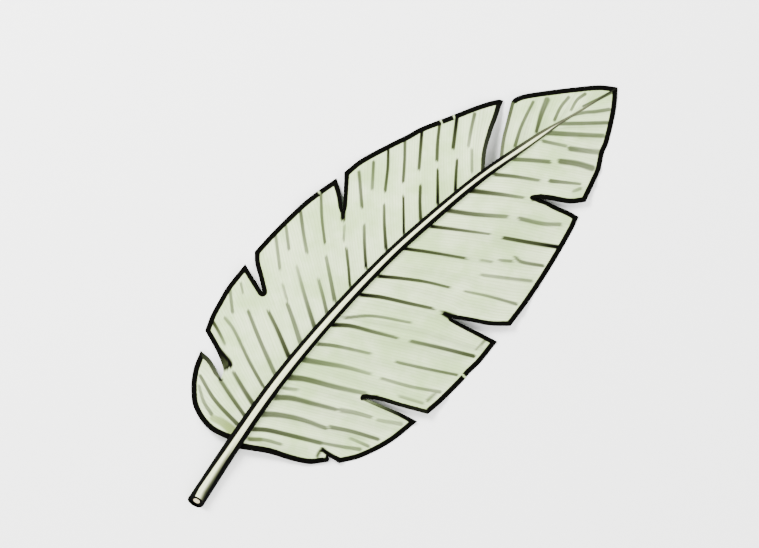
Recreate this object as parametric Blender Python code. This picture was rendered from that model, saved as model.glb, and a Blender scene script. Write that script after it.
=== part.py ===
"""A banana leaf, cut from its plant and laid down with its underside up.

The leaf grew as one piece, so it is one solid: a channelled stalk that runs on
as the midrib, and on each side of it a thin blade that is pleated along its
veins and torn from the margin towards the midrib. The midrib stands up as a
round rib, and the blade falls away from it to the surface it lies on.

Units are metres, +Z is up, and +Y runs from the cut end of the stalk to the
apex. The origin is the middle of the leaf's box, on the surface below it.
"""

import math

import bmesh
import bpy
from mathutils import Vector
from mathutils.geometry import interpolate_bezier

MM = 0.001

# Midrib: station along the straight line from the cut end to the apex, and
# the sideways place, width and height of its widest level there, all in mm.
STALK_END = -5
RIB_END = 902
RIB_SIDEWAYS = [(-5, 1), (106, -23), (217, -43), (335, -55), (462, -60), (554, -56),
                (655, -48), (729, -37), (787, -27), (902, 1)]
RIB_WIDTH = [(-2, 26), (100, 24), (250, 21), (450, 18), (675, 15), (765, 11), (837, 5.5), (902, 2.4)]
RIB_HEIGHT = [(-2, 6), (60, 8), (130, 16), (230, 28), (400, 37), (550, 34), (700, 23), (800, 12),
              (860, 5), (902, 0.9)]
RIB_STEPS = 46
CUT_LEAN = math.radians(34)

# Section of the midrib, in shares of its width: an arch above its widest
# level, and below it two rims with the channel of the leaf's upper side.
ARCH_HEIGHT = 0.5
ARCH_STEPS = 8
BELOW = [(-0.46, -0.12), (-0.31, -0.22), (-0.12, -0.25), (0.0, -0.15), (0.12, -0.25), (0.31, -0.22),
         (0.46, -0.12)]
BLADE_ROOT = 0.34

# Blade: pleats between veins, and rows from the midrib to the margin.
BLADE_THICKNESS = 1.0 * MM
PLEAT_HEIGHT = 3.2 * MM
PLEAT_RISE = 0.3
PLEAT_FADE = 0.4
FULL_PLEAT_LENGTH = 60 * MM
ARCH_POWER = 1.7
COLUMNS_PER_VEIN = 2
ROWS = 12
MARGIN_STEPS = 240

# Each tear: the station of its root on the midrib, the vein that leads to its
# tip, and its two edges from there to the margin. Points are x, y and height in
# mm. The blade lies flat on the surface wherever its height would be below 0.
LEFT_TEAR_1 = {
    "root": 143, "vein": [(-72, 147, 17), (-106, 155, 13)],
    "lower": [(-137, 162, 8), (-158, 161, 4)],
    "upper": [(-113, 167, 11), (-138, 178, 5), (-176, 189, -3)]}
LEFT_TEAR_2 = {
    "root": 254, "vein": [(-95, 269, 25), (-157, 294, 14)],
    "lower": [(-180, 298, 13), (-205, 304, 11)],
    "upper": [(-175, 308, 8), (-195, 320, 1), (-209, 329, -3)]}
LEFT_TEAR_3 = {
    "root": 397, "vein": [(-112, 431, 31), (-158, 468, 18)],
    "lower": [(-180, 482, 8), (-200, 495, -1)],
    "upper": [(-176, 487, 15), (-200, 512, 11)]}
RIGHT_TEAR_4 = {
    "root": 122, "vein": [(32, 157, 13), (79, 188, 6)],
    "lower": [(88, 188, 5), (95, 188, 3), (99, 184, 1)],
    "upper": [(89, 191, 7), (98, 194, 6), (112, 194, 4)]}
RIGHT_TEAR_3 = {
    "root": 230, "vein": [(14, 260, 25), (68, 291, 17)],
    "lower": [(97, 300, 11), (125, 313, 6), (150, 322, 2)],
    "upper": [(89, 308, 15), (116, 322, 13), (153, 344, 10)]}
RIGHT_TEAR_2 = {
    "root": 397, "vein": [(2, 433, 33), (59, 467, 24)],
    "lower": [(91, 475, 16), (124, 486, 8), (149, 496, 1)],
    "upper": [(78, 475, 22), (98, 490, 19), (123, 508, 14), (147, 529, 10)]}
RIGHT_TEAR_1 = {
    "root": 627, "vein": [(-10, 660, 25), (30, 690, 17)],
    "lower": [(64, 706, 8), (100, 718, 1)],
    "upper": [(52, 707, 15), (76, 726, 11), (92, 744, 8)]}

# The tear nearest the apex on the left reaches the midrib and stands open, so
# its two edges have roots of their own.
OPEN_TEAR_LOWER = {
    "root": 671, "vein": [],
    "lower": [(-70, 687, 23), (-88, 716, 15), (-97, 737, 9), (-107, 763, 1)]}
OPEN_TEAR_UPPER = {
    "root": 701, "vein": [],
    "upper": [(-66, 721, 21), (-79, 745, 16), (-97, 772, 8)]}

# Where the blade begins on the stalk, and the apex where it ends: the margin
# meets the midrib there, so these edges are a single point.
LEFT_START = {"root": 101}
RIGHT_START = {"root": 99}
APEX = {"root": 899}

# Each strip of blade: the tears below and above it, its margin between them,
# the stations where its veins leave the midrib, and the shares of the margin
# where they end. The first and last vein are the strip's own edges.
LEFT_STRIPS = [
    {"below": LEFT_START, "above": LEFT_TEAR_1, "per_vein": 6,
     "veins": [101, 128, 143],
     "ends": [0, 0.79, 1],
     "margin": [(-31, 99, 13), (-42, 93, 12), (-59, 87, 10), (-75, 87, 6), (-92, 90, 2), (-109, 98, -3),
                (-125, 111, -5), (-137, 124, -4), (-148, 140, -1)]},
    {"below": LEFT_TEAR_1, "above": LEFT_TEAR_2,
     "veins": [143, 165, 196, 220, 254],
     "ends": [0, 0.2, 0.54, 0.86, 1],
     "margin": [(-186, 211, -5), (-193, 235, -4), (-199, 262, 3)]},
    {"below": LEFT_TEAR_2, "above": LEFT_TEAR_3,
     "veins": [254, 281, 313, 345, 366, 397],
     "ends": [0, 0.25, 0.4, 0.58, 0.81, 1],
     "margin": [(-210, 362, -5), (-212, 392, 1), (-210, 436, 9), (-206, 468, 5)]},
    {"below": LEFT_TEAR_3, "above": OPEN_TEAR_LOWER,
     "veins": [397, 433, 475, 509, 544, 579, 614, 646, 671],
     "ends": [0, 0.12, 0.29, 0.4, 0.51, 0.61, 0.72, 0.83, 1],
     "margin": [(-197, 543, 4), (-182, 594, -5), (-166, 642, -5), (-145, 692, 4), (-127, 732, 7)]},
    {"below": OPEN_TEAR_UPPER, "above": APEX,
     "veins": [701, 726, 763, 793, 828, 899],
     "ends": [0, 0.24, 0.37, 0.63, 0.76, 1],
     "margin": [(-98, 779, 8), (-91, 794, 4), (-68, 825, -2), (-45, 856, -3), (-19, 884, 0.6)]},
]
RIGHT_STRIPS = [
    {"below": RIGHT_START, "above": RIGHT_TEAR_4, "per_vein": 8,
     "veins": [99, 122],
     "ends": [0, 1],
     "margin": [(-10, 101, 14), (3, 109, 13), (29, 127, 11), (57, 143, 7), (82, 161, 3)]},
    {"below": RIGHT_TEAR_4, "above": RIGHT_TEAR_3,
     "veins": [122, 138, 165, 195, 230],
     "ends": [0, 0.33, 0.59, 0.83, 1],
     "margin": [(128, 224, -4), (145, 272, -5)]},
    {"below": RIGHT_TEAR_3, "above": RIGHT_TEAR_2,
     "veins": [230, 264, 297, 333, 355, 397],
     "ends": [0, 0.23, 0.49, 0.77, 0.89, 1],
     "margin": [(154, 367, 5), (154, 416, -5), (156, 457, -5)]},
    {"below": RIGHT_TEAR_2, "above": RIGHT_TEAR_1,
     "veins": [397, 434, 465, 496, 548, 585, 627],
     "ends": [0, 0.17, 0.38, 0.56, 0.73, 0.92, 1],
     "margin": [(140, 578, 3), (127, 637, -5), (107, 699, -3)]},
    {"below": RIGHT_TEAR_1, "above": APEX,
     "veins": [627, 674, 715, 763, 778, 792, 839, 899],
     "ends": [0, 0.16, 0.3, 0.43, 0.57, 0.72, 0.83, 1],
     "margin": [(71, 793, 1), (51, 832, -4), (27, 869, -2), (12, 887, 0.6)]},
]


def read_table(table, station):
    """Value at a station, on a smooth curve through a table of stations and values."""
    last = len(table) - 2
    k = next((i for i in range(last) if station < table[i + 1][0]), last)
    (s0, v0), (s1, v1) = table[k], table[k + 1]
    before = table[max(k - 1, 0)]
    after = table[min(k + 2, last + 1)]
    slope0 = (v1 - before[1]) / (s1 - before[0])
    slope1 = (after[1] - v0) / (after[0] - s0)
    t = (station - s0) / (s1 - s0)
    blend = t * t * (3 - 2 * t)
    bend = slope0 * t * (1 - t) ** 2 - slope1 * t * t * (1 - t)
    return v0 + (v1 - v0) * blend + bend * (s1 - s0)


def smooth_points(points, steps):
    """Evenly spaced points on a smooth curve through some points, both ends included."""
    points = [Vector(p) for p in points]
    dense = [points[0]]
    for k in range(len(points) - 1):
        a, b = points[k], points[k + 1]
        before = points[max(k - 1, 0)]
        after = points[min(k + 2, len(points) - 1)]
        reach = (b - a).length / 3
        handle_a = a + (b - before).normalized() * reach
        handle_b = b - (after - a).normalized() * reach
        dense += interpolate_bezier(a, handle_a, handle_b, b, 13)[1:]
    lengths = [0.0]
    for p, q in zip(dense, dense[1:]):
        lengths.append(lengths[-1] + (q - p).length)
    result = []
    k = 0
    for step in range(steps + 1):
        goal = lengths[-1] * step / steps
        while k < len(dense) - 2 and lengths[k + 1] < goal:
            k += 1
        run = lengths[k + 1] - lengths[k]
        result.append(dense[k].lerp(dense[k + 1], (goal - lengths[k]) / run if run else 0.0))
    return result


def rib_frame(station):
    """Middle of the midrib at a station, the level sideways direction there, and its width, in m."""
    middle = Vector((read_table(RIB_SIDEWAYS, station), station, read_table(RIB_HEIGHT, station)))
    ahead = read_table(RIB_SIDEWAYS, station + 1) - read_table(RIB_SIDEWAYS, station - 1)
    sideways = Vector((2, -ahead, 0)).normalized()
    return middle * MM, sideways, read_table(RIB_WIDTH, station) * MM


def map_grid(mesh, columns, rows, place):
    """Add a grid whose vertices are moved to place(column, row)."""
    grid = bmesh.ops.create_grid(mesh, x_segments=columns, y_segments=rows, size=0.5)
    for vertex in grid["verts"]:
        column = round((vertex.co.x + 0.5) * columns)
        row = round((vertex.co.y + 0.5) * rows)
        vertex.co = place(column, row)


def link_object(name, mesh):
    """Make an object of a finished bmesh, with its faces pointing out."""
    bmesh.ops.recalc_face_normals(mesh, faces=mesh.faces)
    data = bpy.data.meshes.new(name)
    mesh.to_mesh(data)
    mesh.free()
    return bpy.data.objects.new(name, data)


def make_rib():
    """The stalk and midrib: a closed tube with its section at every station."""
    arch = [(0.5 * math.cos(math.pi * k / ARCH_STEPS), ARCH_HEIGHT * math.sin(math.pi * k / ARCH_STEPS))
            for k in range(ARCH_STEPS + 1)]
    section = arch + BELOW
    around = len(section)

    def place(column, row):
        across, up = section[column % around]
        station = STALK_END + (RIB_END - STALK_END) * row / RIB_STEPS
        middle, sideways, width = rib_frame(station)
        point = middle + sideways * across * width + Vector((0, 0, up * width))
        if row == 0:
            point.y += up * width * math.tan(CUT_LEAN)
        point.z = max(point.z, 0.0)
        return point

    mesh = bmesh.new()
    map_grid(mesh, around, RIB_STEPS, place)
    bmesh.ops.remove_doubles(mesh, verts=mesh.verts, dist=0.01 * MM)
    ends = [edge for edge in mesh.edges if edge.is_boundary]
    bmesh.ops.holes_fill(mesh, edges=ends)
    bmesh.ops.triangulate(mesh, faces=mesh.faces)
    return link_object("midrib", mesh)


def root_point(station, side):
    """Where the blade starts inside the midrib, at a station."""
    middle, sideways, width = rib_frame(station)
    return middle + sideways * side * BLADE_ROOT * width - Vector((0, 0, BLADE_THICKNESS / 2))


def edge_points(tear, name, side):
    """A strip's edge from the midrib along the tear's vein to its tip, and on to the margin."""
    root = root_point(tear["root"], side)
    if name not in tear:
        return [root] * (ROWS + 1)
    vein = [root] + [Vector(p) * MM for p in tear["vein"]]
    free = [vein[-1]] + [Vector(p) * MM for p in tear[name]]
    if len(vein) == 1:
        return smooth_points(free, ROWS)
    whole = (Vector(tear["upper"][-1]) * MM - root).length
    rows_to_tip = round(ROWS * (vein[-1] - root).length / whole)
    return smooth_points(vein, rows_to_tip) + smooth_points(free, ROWS - rows_to_tip)[1:]


def arched(root, end, v):
    """Point at a share v of a vein: straight in plan, and falling ever more steeply."""
    point = root.lerp(end, v)
    point.z = end.z + (root.z - end.z) * (1 - v ** ARCH_POWER)
    return point


def add_strip(mesh, strip, side):
    """One strip of blade: a patch spanned by midrib, margin and its two edges."""
    per_vein = strip.get("per_vein", COLUMNS_PER_VEIN)
    columns = (len(strip["veins"]) - 1) * per_vein
    low = edge_points(strip["below"], "upper", side)
    high = edge_points(strip["above"], "lower", side)
    margin = smooth_points([low[-1]] + [Vector(p) * MM for p in strip["margin"]] + [high[-1]], MARGIN_STEPS)

    def between_veins(values, column):
        vein = min(column // per_vein, len(values) - 2)
        return values[vein] + (values[vein + 1] - values[vein]) * (column / per_vein - vein)

    def place(column, row):
        u = column / columns
        v = row / ROWS
        root = root_point(between_veins(strip["veins"], column), side)
        end = margin[round(MARGIN_STEPS * between_veins(strip["ends"], column))]
        low_shift = low[row] - arched(low[0], low[-1], v)
        high_shift = high[row] - arched(high[0], high[-1], v)
        point = arched(root, end, v) + low_shift * (1 - u) ** 2 + high_shift * u ** 2
        pleat = PLEAT_HEIGHT / 2 * math.cos(2 * math.pi * column / per_vein)
        rise = math.sin(math.pi / 2 * min(1, v / PLEAT_RISE)) * (1 - PLEAT_FADE * v)
        point.z += pleat * rise * min(1, (end - root).length / FULL_PLEAT_LENGTH)
        return point

    map_grid(mesh, columns, ROWS, place)


def make_blade(name, strips, side):
    """All strips of one side, joined along their shared veins and given a thickness."""
    mesh = bmesh.new()
    for strip in strips:
        add_strip(mesh, strip, side)
    bmesh.ops.remove_doubles(mesh, verts=mesh.verts, dist=0.05 * MM)
    bmesh.ops.triangulate(mesh, faces=mesh.faces)
    for vertex in mesh.verts:
        vertex.co.z = max(vertex.co.z, 0.0)
    lower = bmesh.ops.extrude_face_region(mesh, geom=mesh.faces[:])
    for item in lower["geom"]:
        if isinstance(item, bmesh.types.BMVert):
            item.co.z += BLADE_THICKNESS
    return link_object(name, mesh)


def join(body, others):
    """Unite the other objects with the body in one Boolean, and remove them."""
    helpers = bpy.data.collections.new("grown on the midrib")
    bpy.context.scene.collection.children.link(helpers)
    for other in others:
        helpers.objects.link(other)
    union = body.modifiers.new("grown together", "BOOLEAN")
    union.operation = "UNION"
    union.operand_type = "COLLECTION"
    union.collection = helpers
    union.solver = "EXACT"
    graph = bpy.context.evaluated_depsgraph_get()
    united = bpy.data.meshes.new_from_object(body.evaluated_get(graph))
    body.modifiers.clear()
    body.data = united
    for other in others:
        bpy.data.objects.remove(other)
    bpy.data.collections.remove(helpers)


def centre_on_surface(body):
    """Move the mesh so that the origin is below the middle of its box."""
    for axis in (0, 1):
        places = [vertex.co[axis] for vertex in body.data.vertices]
        middle = (min(places) + max(places)) / 2
        for vertex in body.data.vertices:
            vertex.co[axis] -= middle


def leaf_material():
    """Fresh banana leaf, seen from its pale, waxy underside."""
    material = bpy.data.materials.new("banana leaf")
    material.use_nodes = True
    shader = material.node_tree.nodes["Principled BSDF"]
    shader.inputs["Base Color"].default_value = (0.45, 0.56, 0.27, 1.0)
    shader.inputs["Roughness"].default_value = 0.55
    shader.inputs["Metallic"].default_value = 0.0
    return material


def main():
    for old in list(bpy.data.objects):
        bpy.data.objects.remove(old)
    leaf = make_rib()
    leaf.name = "banana_leaf"
    bpy.context.scene.collection.objects.link(leaf)
    join(leaf, [make_blade("left blade", LEFT_STRIPS, -1), make_blade("right blade", RIGHT_STRIPS, 1)])
    centre_on_surface(leaf)
    leaf.data.materials.clear()
    leaf.data.materials.append(leaf_material())
    leaf.data.shade_smooth()
    leaf.data.set_sharp_from_angle(angle=math.radians(40))


main()
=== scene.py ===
# %% [markdown]
# # A cut banana leaf, underside up
#
# The leaf lies on a pale floor. Its midrib stands up as a round, pale rod, its
# blade falls away from it on both sides, and wind has torn the blade along its
# veins. The solid leaf that is loaded first gives the place and the size. The
# cells below lay finer pieces over it: two blades with their veins, and one
# midrib with its cut stalk.

# %% Load the solid leaf
import math

import bmesh
import bpy
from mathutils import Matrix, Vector, kdtree, noise
from mathutils.geometry import interpolate_bezier


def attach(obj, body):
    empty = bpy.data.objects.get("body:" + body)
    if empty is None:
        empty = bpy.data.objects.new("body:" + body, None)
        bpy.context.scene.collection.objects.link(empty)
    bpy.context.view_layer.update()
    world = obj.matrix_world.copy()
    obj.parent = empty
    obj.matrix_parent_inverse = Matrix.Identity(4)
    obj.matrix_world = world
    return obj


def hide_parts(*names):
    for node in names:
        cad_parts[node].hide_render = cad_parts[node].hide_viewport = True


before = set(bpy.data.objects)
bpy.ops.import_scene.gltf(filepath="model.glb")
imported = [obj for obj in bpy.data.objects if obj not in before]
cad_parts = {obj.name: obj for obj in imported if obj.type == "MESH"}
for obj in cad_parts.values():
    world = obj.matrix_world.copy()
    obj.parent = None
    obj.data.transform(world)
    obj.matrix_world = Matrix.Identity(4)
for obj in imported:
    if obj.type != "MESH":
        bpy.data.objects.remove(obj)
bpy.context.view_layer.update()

# %% [markdown]
# ## The leaf's own measures
#
# Lengths are in millimetres from the middle of the stalk's cut end, with +Y
# along the straight line to the apex and +Z up. Points of the picture are
# turned into places on the leaf by one scale and one turn, because the picture
# looks straight down on it. The finished pieces are moved so that the origin
# is the middle of the leaf's box, as it is in the solid.

# %% From the picture to the leaf
MM = 0.001
IMAGE_WIDTH, IMAGE_HEIGHT = 759, 548
CUT_PIXEL, APEX_PIXEL = (197.5, 499), (616, 88)
MM_PER_PIXEL = 1.5343
IMAGE_TURN = math.radians(45.52)
LEAF_MIDDLE = Vector((-28.146, 445.855, 0)) * MM


def on_leaf(across, down):
    """Place on the leaf, from its cut end, of a point of the picture."""
    right = (across - CUT_PIXEL[0]) * MM_PER_PIXEL * MM
    below = (down - CUT_PIXEL[1]) * MM_PER_PIXEL * MM
    turn, lean = math.cos(IMAGE_TURN), math.sin(IMAGE_TURN)
    return Vector((right * turn + below * lean, right * lean - below * turn, 0))


print("apex, mm from the cut:", [round(value / MM) for value in on_leaf(*APEX_PIXEL)])

# %% [markdown]
# ## Camera
#
# The picture looks straight down, with the leaf running from the lower left to
# the upper right. A very long lens from far up keeps the raised midrib in its
# place. Its distance follows from the picture's scale at the blade's level.

# %% Camera over the leaf
LENS = 300
SENSOR = 36
BLADE_LEVEL = 4 * MM
CLIP_END = 100


def new_object(name, data):
    """A new object in the scene, with its data."""
    made = bpy.data.objects.new(name, data)
    bpy.context.scene.collection.objects.link(made)
    return made


lens = bpy.data.cameras.new("long lens")
lens.lens = LENS
lens.sensor_width = SENSOR
camera = new_object("camera", lens)
camera.location = on_leaf(IMAGE_WIDTH / 2, IMAGE_HEIGHT / 2) - LEAF_MIDDLE
camera.location.z = BLADE_LEVEL + IMAGE_WIDTH * MM_PER_PIXEL * MM * LENS / SENSOR
camera.rotation_euler = (0, 0, IMAGE_TURN)
lens.clip_end = CLIP_END
bpy.context.scene.camera = camera
print("camera height, m:", round(camera.location.z, 2))

# %% [markdown]
# ## Floor and light
#
# A plain pale floor, and four soft lamps in a ring round the leaf, so that no
# lamp is mirrored straight up to the camera. The one at the picture's upper
# left is the strongest, and it stands at 45 degrees to the veins of both
# halves, so it brings out the relief of both.


# %% Colours, and helpers for nodes and meshes
def colour(code):
    """Linear colour of an sRGB hex code, by the curve of the sRGB standard."""
    shares = [int(code[k:k + 2], 16) / 255 for k in (1, 3, 5)]
    return [c / 12.92 if c <= 0.04045 else ((c + 0.055) / 1.055) ** 2.4 for c in shares] + [1.0]


def add(tree, kind, inputs=(), **settings):
    """Add a node with its settings, and give each input a value or a link."""
    new = tree.nodes.new("ShaderNode" + kind)
    for name, value in settings.items():
        setattr(new, name, value)
    for name, value in dict(inputs).items():
        if isinstance(value, bpy.types.NodeSocket):
            tree.links.new(value, new.inputs[name])
        else:
            new.inputs[name].default_value = value
    return new


def new_material(name):
    """A material with an empty node tree, and that tree."""
    material = bpy.data.materials.new(name)
    material.use_nodes = True
    material.node_tree.nodes.clear()
    return material, material.node_tree


def noise_texture(tree, vector, size, detail, roughness=0.5):
    """Value from 0 to 1 of a noise pattern whose spots have a size in metres."""
    return add(tree, "TexNoise", {"Vector": vector, "Scale": 1 / size, "Detail": detail,
                                  "Roughness": roughness}).outputs["Fac"]


def surface(tree, height, strength, depth, inputs):
    """Finish a material: a bump from a height pattern, a shader and the output."""
    bump = add(tree, "Bump", {"Height": height, "Strength": strength, "Distance": depth})
    shader = add(tree, "BsdfPrincipled", dict(inputs, Normal=bump.outputs["Normal"]))
    add(tree, "OutputMaterial", {"Surface": shader.outputs["BSDF"]})


def make_object(name, mesh):
    """An object in the scene, from a bmesh that is then freed."""
    data = bpy.data.meshes.new(name)
    mesh.to_mesh(data)
    mesh.free()
    return new_object(name, data)


print("#808080 is, linear:", round(colour("#808080")[0], 3))

# %% Floor
FLOOR_COLOUR = "#EAEAE9"
FLOOR_SIZE = 16
FLOOR_DROP = 0.2 * MM
FLOOR_ROUGHNESS, FLOOR_GLOSS = 0.9, 0.2
GRAINS_PER_METRE = 260
GRAIN_HEIGHT, GRAIN_STRENGTH = 0.5 * MM, 0.15

floor_material, tree = new_material("matt pale board")
place = add(tree, "TexCoord").outputs["Object"]
grain = noise_texture(tree, place, 1 / GRAINS_PER_METRE, detail=3)
surface(tree, grain, GRAIN_STRENGTH, GRAIN_HEIGHT, {
    "Base Color": colour(FLOOR_COLOUR), "Roughness": FLOOR_ROUGHNESS,
    "Specular IOR Level": FLOOR_GLOSS})

mesh = bmesh.new()
bmesh.ops.create_grid(mesh, x_segments=1, y_segments=1, size=FLOOR_SIZE / 2)
bmesh.ops.translate(mesh, verts=mesh.verts, vec=(0, 0, -FLOOR_DROP))
floor = make_object("floor", mesh)
floor.data.materials.append(floor_material)
print("floor, m:", FLOOR_SIZE)

# %% Lamps and surround
LAMPS = {
    "key lamp": {"place": (-2.4, 0.2, 2.3), "size": 1.3, "power": 400},
    "right lamp": {"place": (2.4, -0.2, 2.3), "size": 2.4, "power": 130},
    "lower lamp": {"place": (-0.2, -2.4, 2.3), "size": 2.4, "power": 145},
    "upper lamp": {"place": (0.2, 2.4, 2.3), "size": 2.4, "power": 145},
}
SURROUND_COLOUR = "#F4F5F6"
SURROUND_STRENGTH = 0.7

for name, lamp in LAMPS.items():
    light = bpy.data.lights.new(name, "AREA")
    light.size = lamp["size"]
    light.energy = lamp["power"]
    holder = new_object(name, light)
    holder.location = lamp["place"]
    holder.rotation_euler = (-holder.location).to_track_quat("-Z", "Y").to_euler()

world = bpy.data.worlds.new("pale surround")
world.use_nodes = True
world.node_tree.nodes.clear()
glow = add(world.node_tree, "Background",
           {"Color": colour(SURROUND_COLOUR), "Strength": SURROUND_STRENGTH})
add(world.node_tree, "OutputWorld", {"Surface": glow.outputs["Background"]})
bpy.context.scene.world = world
print("lamps:", ", ".join(LAMPS))

# %% [markdown]
# ## Midrib and blade: the shape that both follow
#
# On a banana leaf the stalk runs on as the midrib. It bows a little to one
# side, rises from the floor to the middle of the leaf and comes down to the
# apex. Its place, width and height are given at a few stations along the leaf,
# and a smooth curve through them gives the rest.

# %% Tables along the midrib
STALK_END = -5
RIB_END = 902
RIB_SIDEWAYS = [(-5, 1), (106, -23), (217, -43), (335, -55), (462, -60), (554, -56.4),
                (655, -48), (729, -36.2), (787, -25.5), (840, -12.6), (902, 1)]
RIB_WIDTH = [(-2, 26), (100, 24), (250, 21), (450, 18.2), (570, 17.3), (675, 15.3), (765, 11),
             (798, 6), (820, 4.1), (860, 3.3), (902, 2.4)]
RIB_HEIGHT = [(-2, 6), (60, 8), (130, 16), (230, 28), (400, 37), (550, 34), (700, 23), (800, 12),
              (860, 5), (902, 0.9)]


def read_table(table, station):
    """Value at a station, on a smooth curve through a table of stations and values."""
    last = len(table) - 2
    k = next((i for i in range(last) if station < table[i + 1][0]), last)
    (s0, v0), (s1, v1) = table[k], table[k + 1]
    before = table[max(k - 1, 0)]
    after = table[min(k + 2, last + 1)]
    slope0 = (v1 - before[1]) / (s1 - before[0])
    slope1 = (after[1] - v0) / (after[0] - s0)
    t = (station - s0) / (s1 - s0)
    blend = t * t * (3 - 2 * t)
    bend = slope0 * t * (1 - t) ** 2 - slope1 * t * t * (1 - t)
    return v0 + (v1 - v0) * blend + bend * (s1 - s0)


def rib_frame(station):
    """Middle of the midrib at a station, the level sideways direction there, and its width."""
    middle = Vector((read_table(RIB_SIDEWAYS, station), station, read_table(RIB_HEIGHT, station)))
    ahead = read_table(RIB_SIDEWAYS, station + 1) - read_table(RIB_SIDEWAYS, station - 1)
    sideways = Vector((2, -ahead, 0)).normalized()
    return middle * MM, sideways, read_table(RIB_WIDTH, station) * MM


def between(first, last, share):
    """Value at a share of the way from a first value to a last one."""
    return first + (last - first) * share


def value_at(values, place):
    """Value between the entries of a list, at a place counted in entries."""
    k = min(int(place), len(values) - 2)
    return between(values[k], values[k + 1], place - k)


# points of the curve from one given point to the next
CURVE_POINTS = 33


def along_curve(points, shares):
    """Points at rising shares of the length of a smooth curve through some points."""
    points = [Vector(p) for p in points]
    dense = [points[0]]
    for k in range(len(points) - 1):
        a, b = points[k], points[k + 1]
        before = points[max(k - 1, 0)]
        after = points[min(k + 2, len(points) - 1)]
        reach = (b - a).length / 3
        dense += interpolate_bezier(a, a + (b - before).normalized() * reach,
                                    b - (after - a).normalized() * reach, b, CURVE_POINTS)[1:]
    lengths = [0.0]
    for p, q in zip(dense, dense[1:]):
        lengths.append(lengths[-1] + (q - p).length)
    result = []
    k = 0
    for share in shares:
        goal = lengths[-1] * share
        while k < len(dense) - 2 and lengths[k + 1] < goal:
            k += 1
        run = lengths[k + 1] - lengths[k]
        result.append(dense[k].lerp(dense[k + 1], (goal - lengths[k]) / run if run else 0.0))
    return result


def path_length(points):
    return sum((b - a).length for a, b in zip(points, points[1:]))


def even_shares(steps):
    return [step / steps for step in range(steps + 1)]


def smooth_step(low, high, value):
    t = min(1, max(0, (value - low) / (high - low)))
    return t * t * (3 - 2 * t)


print("midrib at its middle, mm wide:", round(read_table(RIB_WIDTH, RIB_END / 2), 1))

# %% [markdown]
# ## Tears and strips
#
# A banana blade has no net of veins to hold it, so wind splits it along its
# veins into strips. Each tear starts at a tip somewhere along a vein and opens
# towards the margin. The blade is made strip by strip, each between two tears,
# because a strip is a simple four-sided patch that one grid can fill.
#
# Each tear has the station of its root on the midrib, the vein that leads to
# its tip, and its two edges from there to the margin, as x, y, height in mm.
# The dried line along an edge has a width in mm and a darkness, both at the tip
# and at the margin. A darkness below 0 or above 1 is cut to that. The line is
# thinner close to the tip, where only the share at_tip of its width is left.
#
# Each strip has the stations of its veins on the midrib, the shares of the
# margin's length at which they end, and the points of the margin between its
# two tears. Its margin has a line of its own only where that is wider.

# %% The tears
LINE = (8, 8, 1, 1)
AT_TIP = 0.5
LEFT_TEAR_1 = {
    "root": 143, "vein": [(-72, 147, 17), (-106, 155, 13)],
    "lower": [(-137, 164, 8), (-159, 163, 4)],
    "upper": [(-113, 167, 11), (-138, 178.5, 5), (-176, 189, -3)],
    "lower_line": (6.4, 7.6, 0.6, 0.9), "upper_line": (8, 8, -3, 3.7)}
LEFT_TEAR_2 = {
    "root": 254, "vein": [(-95, 269, 25), (-157, 294, 14)],
    "lower": [(-180, 299, 13), (-206, 305, 11)],
    "upper": [(-176.5, 305.5, 8), (-197, 317, 1), (-209.5, 328.5, -3)],
    "at_tip": 1, "lower_line": (7.6, 7.8, 1, 1), "upper_line": (7.8, 8, 1, 1)}
LEFT_TEAR_3 = {
    "root": 397, "vein": [(-112, 431, 31), (-158, 468, 18)],
    "lower": [(-178.5, 484, 8), (-202, 497, -1)],
    "upper": [(-176, 487, 15), (-200, 512, 11)],
    "at_tip": 0.7, "lower_line": (6.2, 7.8, 1, 1), "upper_line": (6, 8, 1, 1)}
RIGHT_TEAR_4 = {
    "root": 122, "vein": [(32, 157, 13), (79, 186.5, 6), (94, 188.8, 4.5)],
    "lower": [(98, 187, 2.5), (100, 183, 1)],
    "upper": [(99.5, 190.5, 5), (113, 193.5, 4)]}
RIGHT_TEAR_3 = {
    "root": 230, "vein": [(14, 260, 25), (68, 291, 17)],
    "lower": [(96, 303, 11), (124, 315, 6), (151.5, 324, 2)],
    "upper": [(90, 306.5, 15), (116.5, 321, 13), (154.5, 343.5, 10)],
    "at_tip": 0.85, "lower_line": (4, 7.4, 0.35, 1.25), "upper_line": (6.8, 6.4, 1, 0.95)}
RIGHT_TEAR_2 = {
    "root": 397, "vein": [(2, 433, 33), (59, 467, 24), (75, 472.3, 21)],
    "lower": [(90.5, 477, 16), (123, 488.5, 8), (150, 497.5, 1)],
    "upper": [(98.5, 489, 19), (124, 506.5, 14), (147, 529, 10)],
    "at_tip": 1, "lower_line": (5.6, 7.6, 1, 1), "upper_line": (6.5, 7.4, 1, 1)}
RIGHT_TEAR_1 = {
    "root": 627, "vein": [(-10, 660, 25), (30, 690, 17)],
    "lower": [(46, 700.5, 12), (63.5, 707, 8), (86, 716.5, 4), (101, 720.5, 1)],
    "upper": [(46.5, 702.5, 15.5), (52, 707, 15), (77, 725, 11), (92, 744, 8)],
    "lower_line": (5.8, 8, 1, 1), "upper_line": (8, 8.2, 1, 1)}
OPEN_TEAR_LOWER = {
    "root": 667, "vein": [],
    "lower": [(-68.8, 687.8, 23), (-85.8, 717.6, 15), (-95.2, 737.9, 9), (-104.4, 756.2, 3),
              (-107, 763.5, 1)],
    "at_tip": 1, "lower_line": (6, 8.2, 0.8, 1)}
OPEN_TEAR_UPPER = {
    "root": 694, "vein": [],
    "upper": [(-67, 720, 21), (-81.5, 743.5, 16), (-98, 771, 8)],
    "at_tip": 1, "upper_line": (5.2, 5.6, 0.45, 0.62)}
LEFT_START = {"root": 101}
RIGHT_START = {"root": 99}
APEX = {"root": RIB_END}
print("open tear, mm of midrib:", OPEN_TEAR_UPPER["root"] - OPEN_TEAR_LOWER["root"])

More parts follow.
